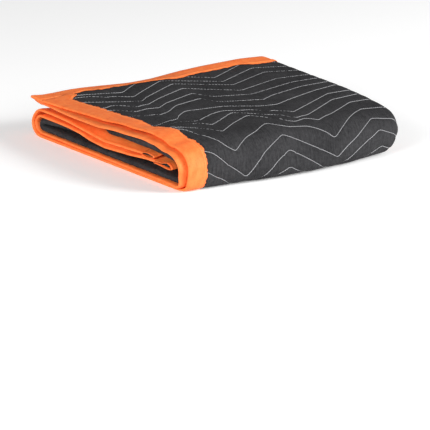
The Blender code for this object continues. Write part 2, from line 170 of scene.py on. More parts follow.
# The sewn zigzag lines that show, from the back of the top to the foot of the near fold: the
# station of each corner, and where along X its four inner corners lie.
LINE_COLUMNS = ("left_edge", "left_valley", "peak", "right_valley", "right_peak", "right_edge",
                "left_valley_x", "peak_x", "right_valley_x", "right_peak_x")
LINES = (
    (58, 103, -6, 111, 38, 65, -107, 6, 102, 204),
    (79, 159, 58, 154, 85, 119, -115, 4, 100, 206),
    (129, 204, 102, 195, 137, 168, -120, 7, 102, 208),
    (204, 238, 153, 250, 207, 218, -125, 3, 90, 201),
    (231, 280, 206, 294, 257, 258, -125, -3, 90, 211),
    (307, 337, 258, 353, 303, 301, -157, -14, 83, 208),
    (392, 386, 350, 407, 354, 337, -148, -15, 86, 211),
    (428, 426, 386, 484, 394, 394, -121, -34, 77, 220),
    (462, 478, 412, 529, 442, 431, -120, -30, 63, 202),
    (480, 541, 451, 561, 478, 478, -137, -17, 93, 226),
    (492, 601, 536, 606, 530, 539, -142, -26, 110, 222),
    (590, 652, 584, 644, 575, 585, -118, -17, 115, 222),
    (632, 690, 614, 675, 604, 621, -112, -10, 110, 231),
    (680, 725, 645, 712, 643, 657, -110, -13, 108, 244),
)
# Where those lines waver between their corners: X and station of each point, in order along X.
WAVERS = (
    ((-145, 91), (-120, 103)),
    ((-179, 93), (-160, 125), (-146, 126), (-128, 146), (-79, 127)),
    ((-200, 141), (-164, 176), (-145, 190), (-96, 179)),
    ((-187, 196), (-169, 219), (-157, 243), (-134, 238), (-82, 205)),
    ((-192, 256), (-178, 280), (-154, 272), (-91, 251), (1, 225), (15, 260), (40, 271)),
    ((-200, 306), (-188, 322), (-162, 327), (-129, 322), (-86, 283), (-5, 305), (23, 321),
     (72, 344), (117, 332)),
    ((-128, 360), (-99, 340), (18, 374), (49, 398), (121, 389)),
    ((-160, 402), (-138, 412), (-103, 412), (-61, 391), (-14, 402), (15, 411), (37, 450),
     (50, 446), (66, 469)),
    ((-165, 438), (-138, 450), (-85, 453), (-43, 420), (5, 452), (19, 470), (43, 494),
     (49, 535), (94, 518)),
    ((-164, 492), (-148, 509), (-79, 493), (-4, 478), (8, 505), (23, 544), (36, 555),
     (69, 546), (82, 553), (136, 538)),
    ((-193, 510), (-185, 545), (-171, 572), (-161, 587), (-125, 589), (-104, 577), (-69, 564),
     (-11, 555), (7, 567), (29, 572), (53, 576), (72, 584), (91, 593)),
    ((-197, 594), (-167, 620), (-73, 612), (-46, 598)),
    ((-191, 642), (-171, 651), (-75, 656), (-45, 632), (27, 633), (87, 663)),
    ((-39, 656), (36, 667)),
)
LEAST_LINE_GAP = 4.0
LINE_EDGE_X = (-205.0, 275.0)
LINE_START_RISE = 30.0
# The even zigzag of the hidden cloth: first corner past the top, half wave, spacing and rise; then
# the corners and rises (as shares) of the hidden lines below the top, and the last one's inset.
FIRST_FURTHER, HALF_WAVE = 55.0, 112.0
LINE_SPACING, LINE_RISE = 44.0, 78.0
EVEN_CORNERS_X = (-205, -110, -5, 102, 210, 275)
EVEN_RISES = (0.0, 0.2, 0.5, -0.5, 0.5, -0.5, -0.2)
LAST_LINE_INSET = 14.0
GUIDE_STEP = 4.0
OUT_OF_REACH, LEAST_SPACING = 1e3, 1e-6

# How finely the cloth is meshed between two sewn lines, as shares of the way, and across.
ROW_SHARES = (0.0, 0.06, 0.16, 0.32, 0.5, 0.68, 0.84, 0.94)
ROWS_COARSE = (0, 2, 4, 6)
FINE_STATION = 800.0
NEAR_ARC_FINE, BACK_ARC_FINE = (520.0, 730.0), (1195.0, 1330.0)
FOLD_FINE, LOOP_FINE = (1.0, 2.0), (2.9, 4.1)
# The same across: length of each coarse column, and how many fine columns it holds, by part.
COLUMN_STEPS = ((14.0, 4), (7.0, 2), (25.0, 2), (2.4, 1), (25.0, 2), (2.4, 1), (21.0, 2))

# Relief of the quilting.
GROOVE_DEPTH, GROOVE_WIDTH = 1.25, 2.4
PUFF = 0.9
OPEN_SPACING, LEAST_ROOM = 30.0, 0.4
GATHER_RISE, GATHER_WAVE, GATHER_REACH, GATHER_GAP = 0.45, 11.0, 7.0, 1.5
GATHER_BEND, BEND_STATION, BEND_WIDTH = 2.2, 17.0, 41.0
LEAST_HALF_BODY = 0.5
# Where the face is free to puff, and over what reach that fades: place, station, and the stations
# of the back fold; then the place where the drawn-up folds end.
FREE_PLACE, FREE_PLACE_FADE, FREE_FADE = 1.9, 0.4, 60.0
FREE_BACK, FREE_BACK_FADE = (1200.0, 1330.0), 30.0
FOLDS_END, FOLDS_FADE = 1.2, 0.2

# Patches of fine drawn-up folds on the outer layer, which run aslant: centre, half sizes, rise.
RIPPLES = (
    (-10, 455, 130, 55, 1.0),
    (-150, 360, 60, 80, 1.0),
    (-130, 180, 80, 80, 0.6),
    (40, 130, 90, 60, 0.4),
    (150, 330, 90, 110, 0.3),
    (-165, 560, 45, 50, 0.8),
)
RIPPLE_SLANT, RIPPLE_WAVE = 0.72, 17.0
# How those folds bend, shake and ebb along their length.
RIPPLE_BEND, RIPPLE_BEND_LENGTH = 1.6, 31.0
RIPPLE_SHAKE, RIPPLE_SHAKE_LENGTH, RIPPLE_SHAKE_X = 1.1, 13.0, 47.0
RIPPLE_EVEN, RIPPLE_EBB, RIPPLE_EBB_LENGTH = 0.65, 0.35, 22.0
# Single creases and ridges across the outer layer: X and station of both ends, half width and rise.
LINE_CREASES = (
    (-189, 603, -78, 699, 7, -1.8),
    (-155, 395, -100, 425, 8, -1.8),
    (-102, 403, 16, 488, 6, -0.4),
    (-42, 500, 60, 545, 8, 1.8),
    (38, 569, 136, 609, 9, 1.8),
    (-175, 290, -140, 320, 6, -2.2),
    (-120, 105, -80, 118, 6, -2.0),
    (-140, 300, -112, 315, 6, -2.0),
    (-120, 366, -112, 398, 15, -3.2),
)
# Where the drawn-up cloth swallows the thread: centre X and station, half sizes and depth.
SUNK_THREADS = (
    (-170, 425, 38, 60, 1.15),
    (-205, 300, 25, 60, 0.7),
    (-30, 320, 60, 22, 0.5),
    (110, 300, 60, 14, 0.4),
    (190, 190, 130, 170, 0.45),
)
# The taut thread spans this share of the depth of each trough that it crosses.
BRIDGED_SHARE = 0.7
THREAD_RADIUS, THREAD_SIDES = 0.58, 4
STITCH_LENGTH = 8.0
STITCH_DIPS = (0.85, 0.85, -0.1)
# How the thread lies past a station on the underside, and past a place inside the folds.
UNDERSIDE_STATION, UNDERSIDE_DIP = 655.0, -0.35
INSIDE_PLACE, INSIDE_DIP = 1.95, -0.9
# How far it runs in under a binding, how far out of the loop it is fine, the coarse step, and the
# least number of points of a piece.
THREAD_TUCK, THREAD_LOOP_REACH, COARSE_STITCHES, LEAST_POINTS = 6.0, 40.0, 3, 3

# Soft troughs and ridges pressed into the upper layers: centre X and Y, half length, half
# width, turn in degrees and rise. They fade out down to the last level.
LAST_PRESSED_LEVEL = 3.0
CREASES = (
    (-208, -79, 34, 28, 0, -6.0),
    (-205, -168, 36, 30, 0, 7.0),
    (-128, -92, 42, 24, 12, -3.0),
    (-119, -66, 24, 15, -20, -5.0),
    (-268, 322, 30, 26, 0, 3.1),
    (-150, 324, 100, 30, 0, 5.5),
)

CAMERA_FOCAL, CAMERA_SCALE = 2900.0, 2.13
CAMERA_ELEVATION, CAMERA_AZIMUTH = 15.9, 34.8
PICTURE_SIDE, PAD_BASE_PIXEL = 430.0, (215.0, 147.0)
SENSOR = 36.0
CAMERA_CLIP = (0.1, 100.0)


def lerp(low, high, share):
    return low + (high - low) * share


def unit(value):
    return np.clip(value, 0.0, 1.0)


def smooth(share):
    share = unit(share)
    return share * share * (3.0 - 2.0 * share)


def bell(value, reach):
    """1 at 0, fading smoothly on both sides."""
    return np.exp(-((value / reach) ** 2))


def across(station, column):
    """Position across the pack of one named line, at a station along the roll."""
    table = np.array(ACROSS)
    return np.interp(station, table[:, 0], table[:, ACROSS_COLUMNS.index(column)])


def share_right(x):
    """Share of the way from the pack's left side to its right side."""
    return unit((x - LEFT_SIDE_X) / SIDE_TO_SIDE)


def part_of(place):
    """Number of the section's part that a place lies in."""
    return np.clip(np.floor(place).astype(int), 0, len(PASS_LENGTHS) - 1)


def section(station, place):
    """X and layer position at a place (0 to 7) round the four-layer section."""
    part = part_of(place)
    share = place - part
    turn = np.pi * share
    chosen = [part == number for number in range(len(SECTION_PARTS))]
    x = np.select(chosen, [
        lerp(across(station, first), across(station, last), share) + bulge * PITCH * np.sin(turn)
        for first, last, _, _, bulge in SECTION_PARTS
    ])
    layer = np.select(chosen, [
        mean + swing * np.cos(turn) for _, _, mean, swing, _ in SECTION_PARTS
    ])
    return x, layer


def squared(value, power):
    return np.sign(value) * np.abs(value) ** power


def even_turns(upper_power, foot_power):
    """Shares of the near fold's length, and the turn angle at each."""
    turn = np.pi * smooth(np.linspace(0.0, 1.0, 1001))
    power = np.where(turn < 0.5 * np.pi, upper_power, foot_power)
    y = NEAR_STRETCH * squared(np.sin(turn), power)
    level = squared(np.cos(turn), power)
    length = np.cumsum(np.hypot(np.diff(y, prepend=y[0]), np.diff(level, prepend=level[0])))
    return length / length[-1], turn


TURNS = [even_turns(*powers) for powers in zip(NEAR_SQUARENESS, FOOT_SQUARENESS)]


def roll(station, x, layer):
    """Y and level (0 to 11) of a layer at a station along the roll."""
    ends = np.cumsum((0.0,) + RUNS)
    part = np.clip(np.searchsorted(ends, station, side="right") - 1, 0, len(RUNS) - 1)
    share = (station - ends[part]) / np.array(RUNS)[part]
    right = share_right(x)
    # The right end's shape of the near fold takes over in the last quarter of the way.
    to_right = smooth(4.0 * right - 3.0)
    even = lerp(*[np.interp(share, *turns) for turns in TURNS], to_right)
    turn = np.where(part == 1, even, np.pi * share)
    start_y = lerp(*TOP_EDGE_Y, right)
    ragged = np.interp(layer, range(len(MID_END_LEFT)), MID_END_LEFT)
    end_y = lerp(ragged, MID_END_RIGHT, smooth(right * MID_END_EVENING))
    near_radius = NEAR_RADIUS + layer
    back_radius = BACK_RADIUS + layer
    upper_power = lerp(*NEAR_SQUARENESS, right * right)
    foot_power = lerp(*FOOT_SQUARENESS, to_right)
    power = np.where(turn < 0.5 * np.pi, upper_power, foot_power)
    outer_radius = NEAR_RADIUS + OUTER_LAYER
    bulge = np.interp(x, *FOOT_BULGES) * (near_radius / outer_radius) ** 2
    # The foot stands out from the second third of the fold on.
    bulge = bulge * smooth(3.0 * share - 1.0)
    reach = NEAR_STRETCH * PITCH * near_radius + bulge
    runs = (
        (lerp(start_y, NEAR_Y, share), NEAR_CENTRE + near_radius),
        (NEAR_Y - reach * squared(np.sin(turn), power),
         NEAR_CENTRE + near_radius * squared(np.cos(turn), power)),
        (lerp(NEAR_Y, BACK_Y, share), NEAR_CENTRE - near_radius),
        (BACK_Y + BACK_STRETCH * PITCH * back_radius * np.sin(turn),
         BACK_CENTRE - back_radius * np.cos(turn)),
        (lerp(BACK_Y, end_y, share), BACK_CENTRE + back_radius),
    )
    chosen = [part == number for number in range(len(runs))]
    return np.select(chosen, [y for y, _ in runs]), np.select(chosen, [level for _, level in runs])


def sagged(x, y, level):
    """Rise of the right side, sag of the top's back edge and droop of the middle bound edges."""
    right = share_right(x)
    from_below = unit(level / TOP_LEVEL)
    rise = np.interp(y, *RIGHT_RISES) * smooth(2.0 * right - 1.0) * from_below
    edge_y = lerp(*TOP_EDGE_Y, right)
    edge = np.interp(x, *EDGE_SAGS) * bell(y - edge_y, SAG_REACH)
    edge = edge * np.interp(level, *SAG_BY_LEVEL)
    face = bell(np.maximum(x - FACE_X, 0.0), DROOP_REACH)
    droop = sum(
        np.interp(y, DROOP_PLACES_Y, droops) * unit(1.0 - np.abs(level - at_level))
        for at_level, droops in DROOPS
    )
    return rise + edge + face * droop


def height(x, y, level):
    """Z of a level: evenly stacked inside, as the end face shows it towards the left."""
    back = unit((y - NEAR_Y) / (TOP_EDGE_Y[0] - NEAR_Y))
    right = share_right(x)
    full = lerp(HEIGHT_FRONT, lerp(*HEIGHT_BACK, right), back)
    inside = HALF_BODY + level * (full - 2.0 * HALF_BODY) / TOP_LEVEL
    slot = np.interp(y, FACE_PLACES_Y, range(len(FACE_PLACES_Y)))
    low = np.clip(np.floor(slot).astype(int), 0, len(FACE_PLACES_Y) - 2)
    table = np.array(FACE_LEVELS)
    step = np.clip(np.floor(level).astype(int), 0, int(TOP_LEVEL) - 1)
    part = level - step
    sides = [lerp(table[row, step], table[row, step + 1], part) for row in (low, low + 1)]
    face = lerp(*sides, smooth(slot - low))
    near_face = bell(np.maximum(x - FACE_X, 0.0), FACE_DEPTH)
    return lerp(inside, face, near_face) + sagged(x, y, level)


def pressed(x, y, level):
    """How far the pressed troughs and ridges lift a point; the layers below follow less."""
    rise = np.zeros_like(x)
    for centre_x, centre_y, along, aside, turn, centre_rise in CREASES:
        angle = np.radians(turn)
        east, north = x - centre_x, y - centre_y
        lengthwise = east * np.cos(angle) + north * np.sin(angle)
        sideways = north * np.cos(angle) - east * np.sin(angle)
        fade = np.exp(-((lengthwise / along) ** 2) - (sideways / aside) ** 2)
        rise = rise + centre_rise * fade
    follows = (level - LAST_PRESSED_LEVEL) / (TOP_LEVEL - LAST_PRESSED_LEVEL)
    return rise * unit(follows)


def middle(station, place):
    """Point of the sheet's middle surface."""
    x, layer = section(station, place)
    y, level = roll(station, x, layer)
    z = height(x, y, level) + pressed(x, y, level)
    return np.stack([x, y, z], axis=-1)


def outward(station, place):
    """Unit normal of the middle surface, away from the inside of the roll."""
    station = np.clip(station, NORMAL_INSET, SHEET_LENGTH - NORMAL_INSET)
    place = np.clip(place, 0.0, LAST_PLACE)
    reach = NORMAL_STEP / np.array(PASS_LENGTHS)[part_of(place)]
    along = middle(station + NORMAL_STEP, place) - middle(station - NORMAL_STEP, place)
    around = middle(station, place + reach) - middle(station, place - reach)
    normal = np.cross(along, around)
    return normal / np.linalg.norm(normal, axis=-1, keepdims=True)


def width_at(place):
    """Distance round the section from the first side edge."""
    part = part_of(place)
    return PASS_STARTS[part] + (place - part) * np.array(PASS_LENGTHS)[part]


def place_at(width):
    """The place at a distance round the section."""
    part = np.searchsorted(PASS_STARTS, width, side="right") - 1
    part = np.clip(part, 0, len(PASS_LENGTHS) - 1)
    return part + (width - PASS_STARTS[part]) / np.array(PASS_LENGTHS)[part]


def guide_lines():
    """Corners (width, station) of the sheet's two ends and of every sewn line between them."""
    guides = [(np.array([0.0, SHEET_WIDTH]), np.array([0.0, 0.0]))]
    further = np.arange(LINE_EDGE_X[1] - LEFT_X + FIRST_FURTHER, SHEET_WIDTH, HALF_WAVE)
    rises = np.where(np.arange(len(further)) % 2 == 0, 0.5, -0.5) * LINE_RISE
    for row, extra in zip(LINES, WAVERS):
        line = dict(zip(LINE_COLUMNS, row))
        marks = list(zip(LINE_EDGE_X, (line["left_edge"], line["right_edge"])))
        marks += [(line[name + "_x"], line[name]) for name in LINE_COLUMNS if name + "_x" in line]
        xs, stations = np.array(sorted((*marks, *extra))).T
        base = 0.5 * (line["right_valley"] + line["right_peak"])
        widths = np.concatenate([[0.0], xs - LEFT_X, further])
        start = [stations[0] - LINE_START_RISE]
        guides.append((widths, np.concatenate([start, stations, base + rises])))
    corners = np.concatenate([[0.0], np.array(EVEN_CORNERS_X) - LEFT_X, further])
    offsets = np.concatenate([EVEN_RISES, rises / LINE_RISE]) * LINE_RISE
    while base + LINE_SPACING + 0.5 * LINE_RISE < SHEET_LENGTH - LAST_LINE_INSET:
        base += LINE_SPACING
        guides.append((corners, base + offsets))
    return spaced(guides)


def spaced(guides):
    """The lines on one scale of widths, corners a little rounded, none touching the next."""
    scale = np.linspace(0.0, SHEET_WIDTH, int(SHEET_WIDTH / GUIDE_STEP))
    before = np.zeros_like(scale)
    finished = [(scale, before)]
    for widths, stations in guides[1:]:
        value = np.interp(scale, widths, stations)
        value[1:-1] = 0.25 * value[:-2] + 0.5 * value[1:-1] + 0.25 * value[2:]
        before = np.maximum(value, before + LEAST_LINE_GAP)
        finished.append((scale, before))
    finished.append((scale, np.full_like(scale, SHEET_LENGTH)))
    return finished


GUIDES = guide_lines()


def guide_station(number, width):
    return np.interp(width, *GUIDES[number])


def row_station(row, width):
    """Station of a mesh row, which runs along the sewn lines; row counts in sewn lines."""
    number = min(int(row), len(GUIDES) - 2)
    return lerp(guide_station(number, width), guide_station(number + 1, width), row - number)


def edge_share(station, width):
    """1 under a binding strip, 0 on the open cloth."""
    inset = np.minimum(
        np.minimum(width, SHEET_WIDTH - width),
        np.minimum(station, SHEET_LENGTH - station),
    )
    return 1.0 - smooth((inset - STRIP_WIDTH) / SHOULDER)


def line_gap(station, width):
    """Distance to the nearest sewn line, share of the way between two lines, and their spacing."""
    stack = np.stack([np.interp(width, *guide) for guide in GUIDES])
    below = np.clip(np.sum(stack <= station, axis=0) - 1, 0, len(GUIDES) - 2)
    low, high = (np.take_along_axis(stack, below[None] + up, axis=0)[0] for up in (0, 1))
    slope = np.cos(np.arctan(LINE_RISE / HALF_WAVE))
    from_low = np.where(below > 0, station - low, OUT_OF_REACH)
    from_high = np.where(below + 1 < len(GUIDES) - 1, high - station, OUT_OF_REACH)
    share = (station - low) / np.maximum(high - low, LEAST_SPACING)
    return np.minimum(from_low, from_high) * slope, unit(share), high - low


def exposed(station, place):
    """1 where the cloth's face is free to puff: the top, the near fold and the back fold."""
    outer = smooth((FREE_PLACE - place) / FREE_PLACE_FADE)
    front = smooth((FINE_STATION - FREE_FADE - station) / FREE_FADE)
    back = smooth((station - FREE_BACK[0]) / FREE_BACK_FADE)
    back = back * smooth((FREE_BACK[1] - station) / FREE_BACK_FADE)
    return outer * np.maximum(front, back)


def patches(rows, x, station):
    """Sum of rounded patches: centre X and station, half sizes and rise of each."""
    total = np.zeros_like(x)
    for centre_x, centre_station, half_x, half_station, rise in rows:
        aside, along = (x - centre_x) / half_x, (station - centre_station) / half_station
        total = total + rise * np.exp(-(aside ** 2) - along ** 2)
    return total


def folds(station, x):
    """Rise of the fine drawn-up folds and of the single creases at a point of the outer layer."""
    aslant = (station - RIPPLE_SLANT * x) / np.hypot(1.0, RIPPLE_SLANT)
    along = (x + RIPPLE_SLANT * station) / np.hypot(1.0, RIPPLE_SLANT)
    phase = 2.0 * np.pi * aslant / RIPPLE_WAVE + RIPPLE_BEND * np.sin(along / RIPPLE_BEND_LENGTH)
    phase = phase + RIPPLE_SHAKE * np.sin(along / RIPPLE_SHAKE_LENGTH + x / RIPPLE_SHAKE_X)
    ebb = RIPPLE_EVEN + RIPPLE_EBB * np.sin(along / RIPPLE_EBB_LENGTH)
    total = patches(RIPPLES, x, station) * np.sin(phase) * ebb
    for start_x, start_station, end_x, end_station, half_width, rise in LINE_CREASES:
        span = np.array([end_x - start_x, end_station - start_station])
        part = ((x - start_x) * span[0] + (station - start_station) * span[1]) / (span @ span)
        held = unit(part)
        away = np.hypot(x - start_x - held * span[0], station - start_station - held * span[1])
        # Highest halfway along, and about three tenths lower at the ends.
        arch = np.sin(np.pi * (0.5 * held + 0.25))
        total = total + rise * arch * bell(away, half_width)
    return total


def half_thickness(station, place, face):
    """Half thickness on the outer (face 1) or inner (face -1) side, with the quilting's grooves."""
    width = width_at(place)
    gap, share, spacing = line_gap(station, width)
    room = np.clip(spacing / OPEN_SPACING, LEAST_ROOM, 1.0) ** 2
    groove = GROOVE_DEPTH * room * bell(gap, GROOVE_WIDTH)
    under = edge_share(station, width)
    if face > 0:
        shown = exposed(station, place)
        bend = GATHER_BEND * np.sin(station / BEND_STATION + width / BEND_WIDTH)
        phase = 2.0 * np.pi * width / GATHER_WAVE + bend
        near_line = bell(gap, GATHER_REACH) * (1.0 - np.exp(-gap / GATHER_GAP))
        gathers = GATHER_RISE * room * np.sin(phase) * near_line
        wrinkles = folds(station, width + LEFT_X) * smooth((FOLDS_END - place) / FOLDS_FADE)
        cushion = PUFF * room * 4.0 * share * (1.0 - share)
        puff = shown * (cushion + gathers + np.maximum(wrinkles, LEAST_HALF_BODY - HALF_BODY))
    else:
        puff = 0.0
    return lerp(HALF_BODY + puff - groove, HALF_EDGE, under)


def add_object(name, data):
    made = bpy.data.objects.new(name, data)
    bpy.context.scene.collection.objects.link(made)
    return made


def new_object(name, points, faces, material):
    """A smooth-shaded mesh object, set on the floor; points in millimetres."""
    mesh = bpy.data.meshes.new(name)
    points = points - ORIGIN
    points[:, 2] = np.maximum(points[:, 2], 0.0)
    mesh.from_pydata(points * MM, [], faces)
    mesh.validate()
    mesh.materials.append(material)
    mesh.shade_smooth()
    mesh.update()
    return add_object(name, mesh)


def cloth_rows():
    """Fine mesh rows, counted in sewn lines, and which of them are coarse ones."""
    lines = range(len(GUIDES) - 1)
    rows = [line + share for line in lines for share in ROW_SHARES] + [len(GUIDES) - 1.0]
    coarse = [line * len(ROW_SHARES) + index for line in lines for index in ROWS_COARSE]
    return np.array(rows), [*coarse, len(rows) - 1]


def cloth_columns():
    """Fine mesh columns as places, and which of them are coarse ones."""
    places, coarse = [], []
    for part, (length, count) in enumerate(COLUMN_STEPS):
        cells = int(round(PASS_LENGTHS[part] / length))
        for cell in range(cells):
            coarse.append(len(places))
            places += [part + (cell + sub / count) / cells for sub in range(count)]
    coarse.append(len(places))
    places.append(SECOND_EDGE)
    return np.array(places), coarse


def within(value, limits):
    return (value > limits[0]) & (value < limits[1])


def spans(marks):
    """Number, first and last of each span between two coarse marks."""
    return [(number, *ends) for number, ends in enumerate(zip(marks, marks[1:]))]


def cloth_mesh():
    """Both faces of the quilted sheet, finely meshed where they show, and the rim between them."""
    rows, coarse_rows = cloth_rows()
    places, coarse_columns = cloth_columns()
    widths = width_at(places)
    station = np.stack([row_station(row, widths) for row in rows])
    place = np.broadcast_to(places, station.shape)
    normal = outward(station, place)
    centre = middle(station, np.clip(place, 0.0, LAST_PLACE))
    points = [
        centre + face * normal * half_thickness(station, place, face)[..., None]
        for face in (1, -1)
    ]
    count_rows, count_columns = station.shape
    size = count_rows * count_columns

    cells_high, cells_wide = len(coarse_rows) - 1, len(coarse_columns) - 1
    centres = np.ix_(*[
        (np.array(marks[:-1]) + marks[1:]) // 2 for marks in (coarse_rows, coarse_columns)
    ])
    cell_station, cell_place = station[centres], place[centres]
    arcs = within(cell_station, NEAR_ARC_FINE), within(cell_station, BACK_ARC_FINE)
    outer_shows = (cell_place < FOLD_FINE[1]) & ((cell_station < FINE_STATION) | arcs[1])
    bends = within(cell_place, FOLD_FINE) | within(cell_place, LOOP_FINE)
    inner_shows = arcs[0] | arcs[1] | bends
    fine = (outer_shows | inner_shows, inner_shows)

    def at(row, column, side):
        return side * size + row * count_columns + column

    def is_fine(side, cell_row, cell_column):
        if 0 <= cell_row < cells_high and 0 <= cell_column < cells_wide:
            return fine[side][cell_row, cell_column]
        row = min(max(cell_row, 0), cells_high - 1)
        column = min(max(cell_column, 0), cells_wide - 1)
        return fine[0][row, column] or fine[1][row, column]

    def stops(first, last, subdivided):
        return list(range(first, last)) if subdivided else [first]

    faces = []

    def add_face(corners, forward):
        faces.append(tuple(corners) if forward else tuple(corners[::-1]))

    for side in (0, 1):
        for cell_row, row, row_end in spans(coarse_rows):
            for cell_column, column, column_end in spans(coarse_columns):
                if fine[side][cell_row, cell_column]:
                    for r in range(row, row_end):
                        for c in range(column, column_end):
                            ends = (r, c), (r + 1, c), (r + 1, c + 1), (r, c + 1)
                            add_face([at(*end, side) for end in ends], side == 0)
                    continue
                left = stops(row, row_end, is_fine(side, cell_row, cell_column - 1))
                far = stops(column, column_end, is_fine(side, cell_row + 1, cell_column))
                right = stops(row, row_end, is_fine(side, cell_row, cell_column + 1))
                near = stops(column, column_end, is_fine(side, cell_row - 1, cell_column))
                ring = [at(r, column, side) for r in left]
                ring += [at(row_end, c, side) for c in far]
                ring += [at(row_end + row - r, column_end, side) for r in right]
                ring += [at(row, column_end + column - c, side) for c in near]
                add_face(ring, side == 0)
    for cell_row, first, last in spans(coarse_rows):
        for column, cell_column in ((0, -1), (count_columns - 1, cells_wide)):
            marks = stops(first, last, is_fine(0, cell_row, cell_column)) + [last]
            for r, after in zip(marks, marks[1:]):
                ends = (r, column, 0), (r, column, 1), (after, column, 1), (after, column, 0)
                add_face([at(*end) for end in ends], column == 0)
    for cell_column, first, last in spans(coarse_columns):
        for row, cell_row in ((0, -1), (count_rows - 1, cells_high)):
            marks = stops(first, last, is_fine(0, cell_row, cell_column)) + [last]
            for c, after in zip(marks, marks[1:]):
                ends = (row, c, 0), (row, after, 0), (row, after, 1), (row, c, 1)
                add_face([at(*end) for end in ends], row == 0)
    everything = np.concatenate([p.reshape(-1, 3) for p in points])
    flat = np.tile(np.stack([width_at(place), station], axis=-1).reshape(-1, 2), (2, 1))
    used = np.unique(np.concatenate([np.array(f) for f in faces]))
    renumber = np.zeros(len(everything), int)
    renumber[used] = np.arange(len(used))
    faces = [tuple(renumber[list(f)].tolist()) for f in faces]
    return everything[used], faces, flat[used]


def add_flat_map(made, flat):
    """Cloth coordinates as a UV map in metres, so that the weave follows the cloth."""
    layer = made.data.uv_layers.new(name="Flat")
    corners = np.zeros(len(made.data.loops), np.int32)
    made.data.loops.foreach_get("vertex_index", corners)
    layer.data.foreach_set("uv", (flat[corners] * MM).astype(np.float32).ravel())


# Materials: tones, darker and lighter

CLOTH_TONES = (0.006, 0.006, 0.007), (0.060, 0.059, 0.062)
BINDING_TONES = (0.90, 0.13, 0.012), (1.0, 0.26, 0.055)
THREAD_TONES = (0.27, 0.27, 0.28), (0.53, 0.53, 0.55)
SEAM_THREAD_TONES = (0.80, 0.22, 0.04), (1.0, 0.42, 0.14)
YARN_PITCH = 0.0011
# Period of a wave texture of scale 1, and the sockets of a colour mix.
WAVE_PERIOD = 0.314
MIX_SHARE, MIX_COLORS, MIX_RESULT = 0, (6, 7), 2


def new_material(name):
    material = bpy.data.materials.new(name)
    material.use_nodes = True
    tree = material.node_tree
    return material, tree, tree.nodes["Principled BSDF"]


def add_node(tree, kind, **values):
    made = tree.nodes.new(kind)
    for key, value in values.items():
        setattr(made, key, value)
    return made


def set_inputs(made, **values):
    for key, value in values.items():
        made.inputs[key.replace("_", " ")].default_value = value


def noise(tree, vector, scale, detail=2.0, roughness=0.5):
    made = add_node(tree, "ShaderNodeTexNoise")
    set_inputs(made, Scale=scale, Detail=detail, Roughness=roughness)
    tree.links.new(vector, made.inputs["Vector"])
    return made.outputs["Fac"]


def ramp(tree, value, limits, results=(0.0, 1.0)):
    made = add_node(tree, "ShaderNodeMapRange")
    set_inputs(made, From_Min=limits[0], From_Max=limits[1], To_Min=results[0], To_Max=results[1])
    tree.links.new(value, made.inputs["Value"])
    return made.outputs["Result"]


def math(tree, operation, first, second):
    made = add_node(tree, "ShaderNodeMath", operation=operation)
    for socket, value in zip(made.inputs, (first, second)):
        if isinstance(value, (int, float)):
            socket.default_value = value
        else:
            tree.links.new(value, socket)
    return made.outputs[0]


def weighted(tree, *parts):
    """Sum of values, each times its weight."""
    total = None
    for value, weight in parts:
        part = value if weight == 1.0 else math(tree, "MULTIPLY", value, weight)
        total = math(tree, "ADD", total, part) if total else part
    return total


def weave(tree, vector, pitch):
    """Height of a plain weave of the given pitch in metres, on the cloth's own coordinates."""
    heights = []
    for direction in ("X", "Y"):
        wave = add_node(tree, "ShaderNodeTexWave", wave_type="BANDS", bands_direction=direction)
        set_inputs(wave, Scale=WAVE_PERIOD / pitch, Distortion=0.6, Detail=1.0)
        tree.links.new(vector, wave.inputs["Vector"])
        heights.append(wave.outputs["Fac"])
    return math(tree, "MULTIPLY", *heights)


def stretched(tree, vector, across_share, along_share):
    """The cloth's own coordinates, scaled so that a noise on them is drawn out one way."""
    made = add_node(tree, "ShaderNodeMapping")
    set_inputs(made, Scale=(across_share, along_share, 1.0))
    tree.links.new(vector, made.inputs["Vector"])
    return made.outputs["Vector"]


def finish_look(tree, shader, tone, limits, tones, relief, distance, strength=0.6):
    """Base colour between two tones as a value goes from limit to limit, and relief as bump."""
    mix = add_node(tree, "ShaderNodeMix", data_type="RGBA")
    for index, color in zip(MIX_COLORS, tones):
        mix.inputs[index].default_value = (*color, 1.0)
    tree.links.new(ramp(tree, tone, limits), mix.inputs[MIX_SHARE])
    tree.links.new(mix.outputs[MIX_RESULT], shader.inputs["Base Color"])
    bump = add_node(tree, "ShaderNodeBump")
    set_inputs(bump, Distance=distance, Strength=strength)
    tree.links.new(relief, bump.inputs["Height"])
    tree.links.new(bump.outputs["Normal"], shader.inputs["Normal"])


def cloth_material():
    """Charcoal cloth: fine ribs along the sheet, a loose fibrous face and soft puckers."""
    material, tree, shader = new_material("charcoal_quilted_cloth")
    flat = add_node(tree, "ShaderNodeUVMap", uv_map="Flat").outputs["UV"]
    yarns = weave(tree, flat, YARN_PITCH)
    ribs = noise(tree, stretched(tree, flat, 1.0, 0.07), scale=420.0, detail=2.0, roughness=0.6)
    cloud = noise(tree, flat, scale=9.0, detail=4.0, roughness=0.6)
    mottle = noise(tree, flat, scale=150.0, detail=4.0, roughness=0.75)
    puckers = noise(tree, stretched(tree, flat, 1.0, 0.45), scale=62.0, detail=3.0, roughness=0.6)
    tone = weighted(tree, (cloud, 0.3), (mottle, 0.45), (ribs, 0.35), (yarns, 0.2))
    relief = weighted(tree, (yarns, 0.15), (ribs, 0.35), (mottle, 0.45), (puckers, 1.0))
    finish_look(tree, shader, tone, (0.42, 0.82), CLOTH_TONES, relief, distance=0.0035)
    tree.links.new(ramp(tree, mottle, (0.25, 0.75), (0.72, 0.86)), shader.inputs["Roughness"])
    set_inputs(shader, Specular_IOR_Level=0.15)
    return material


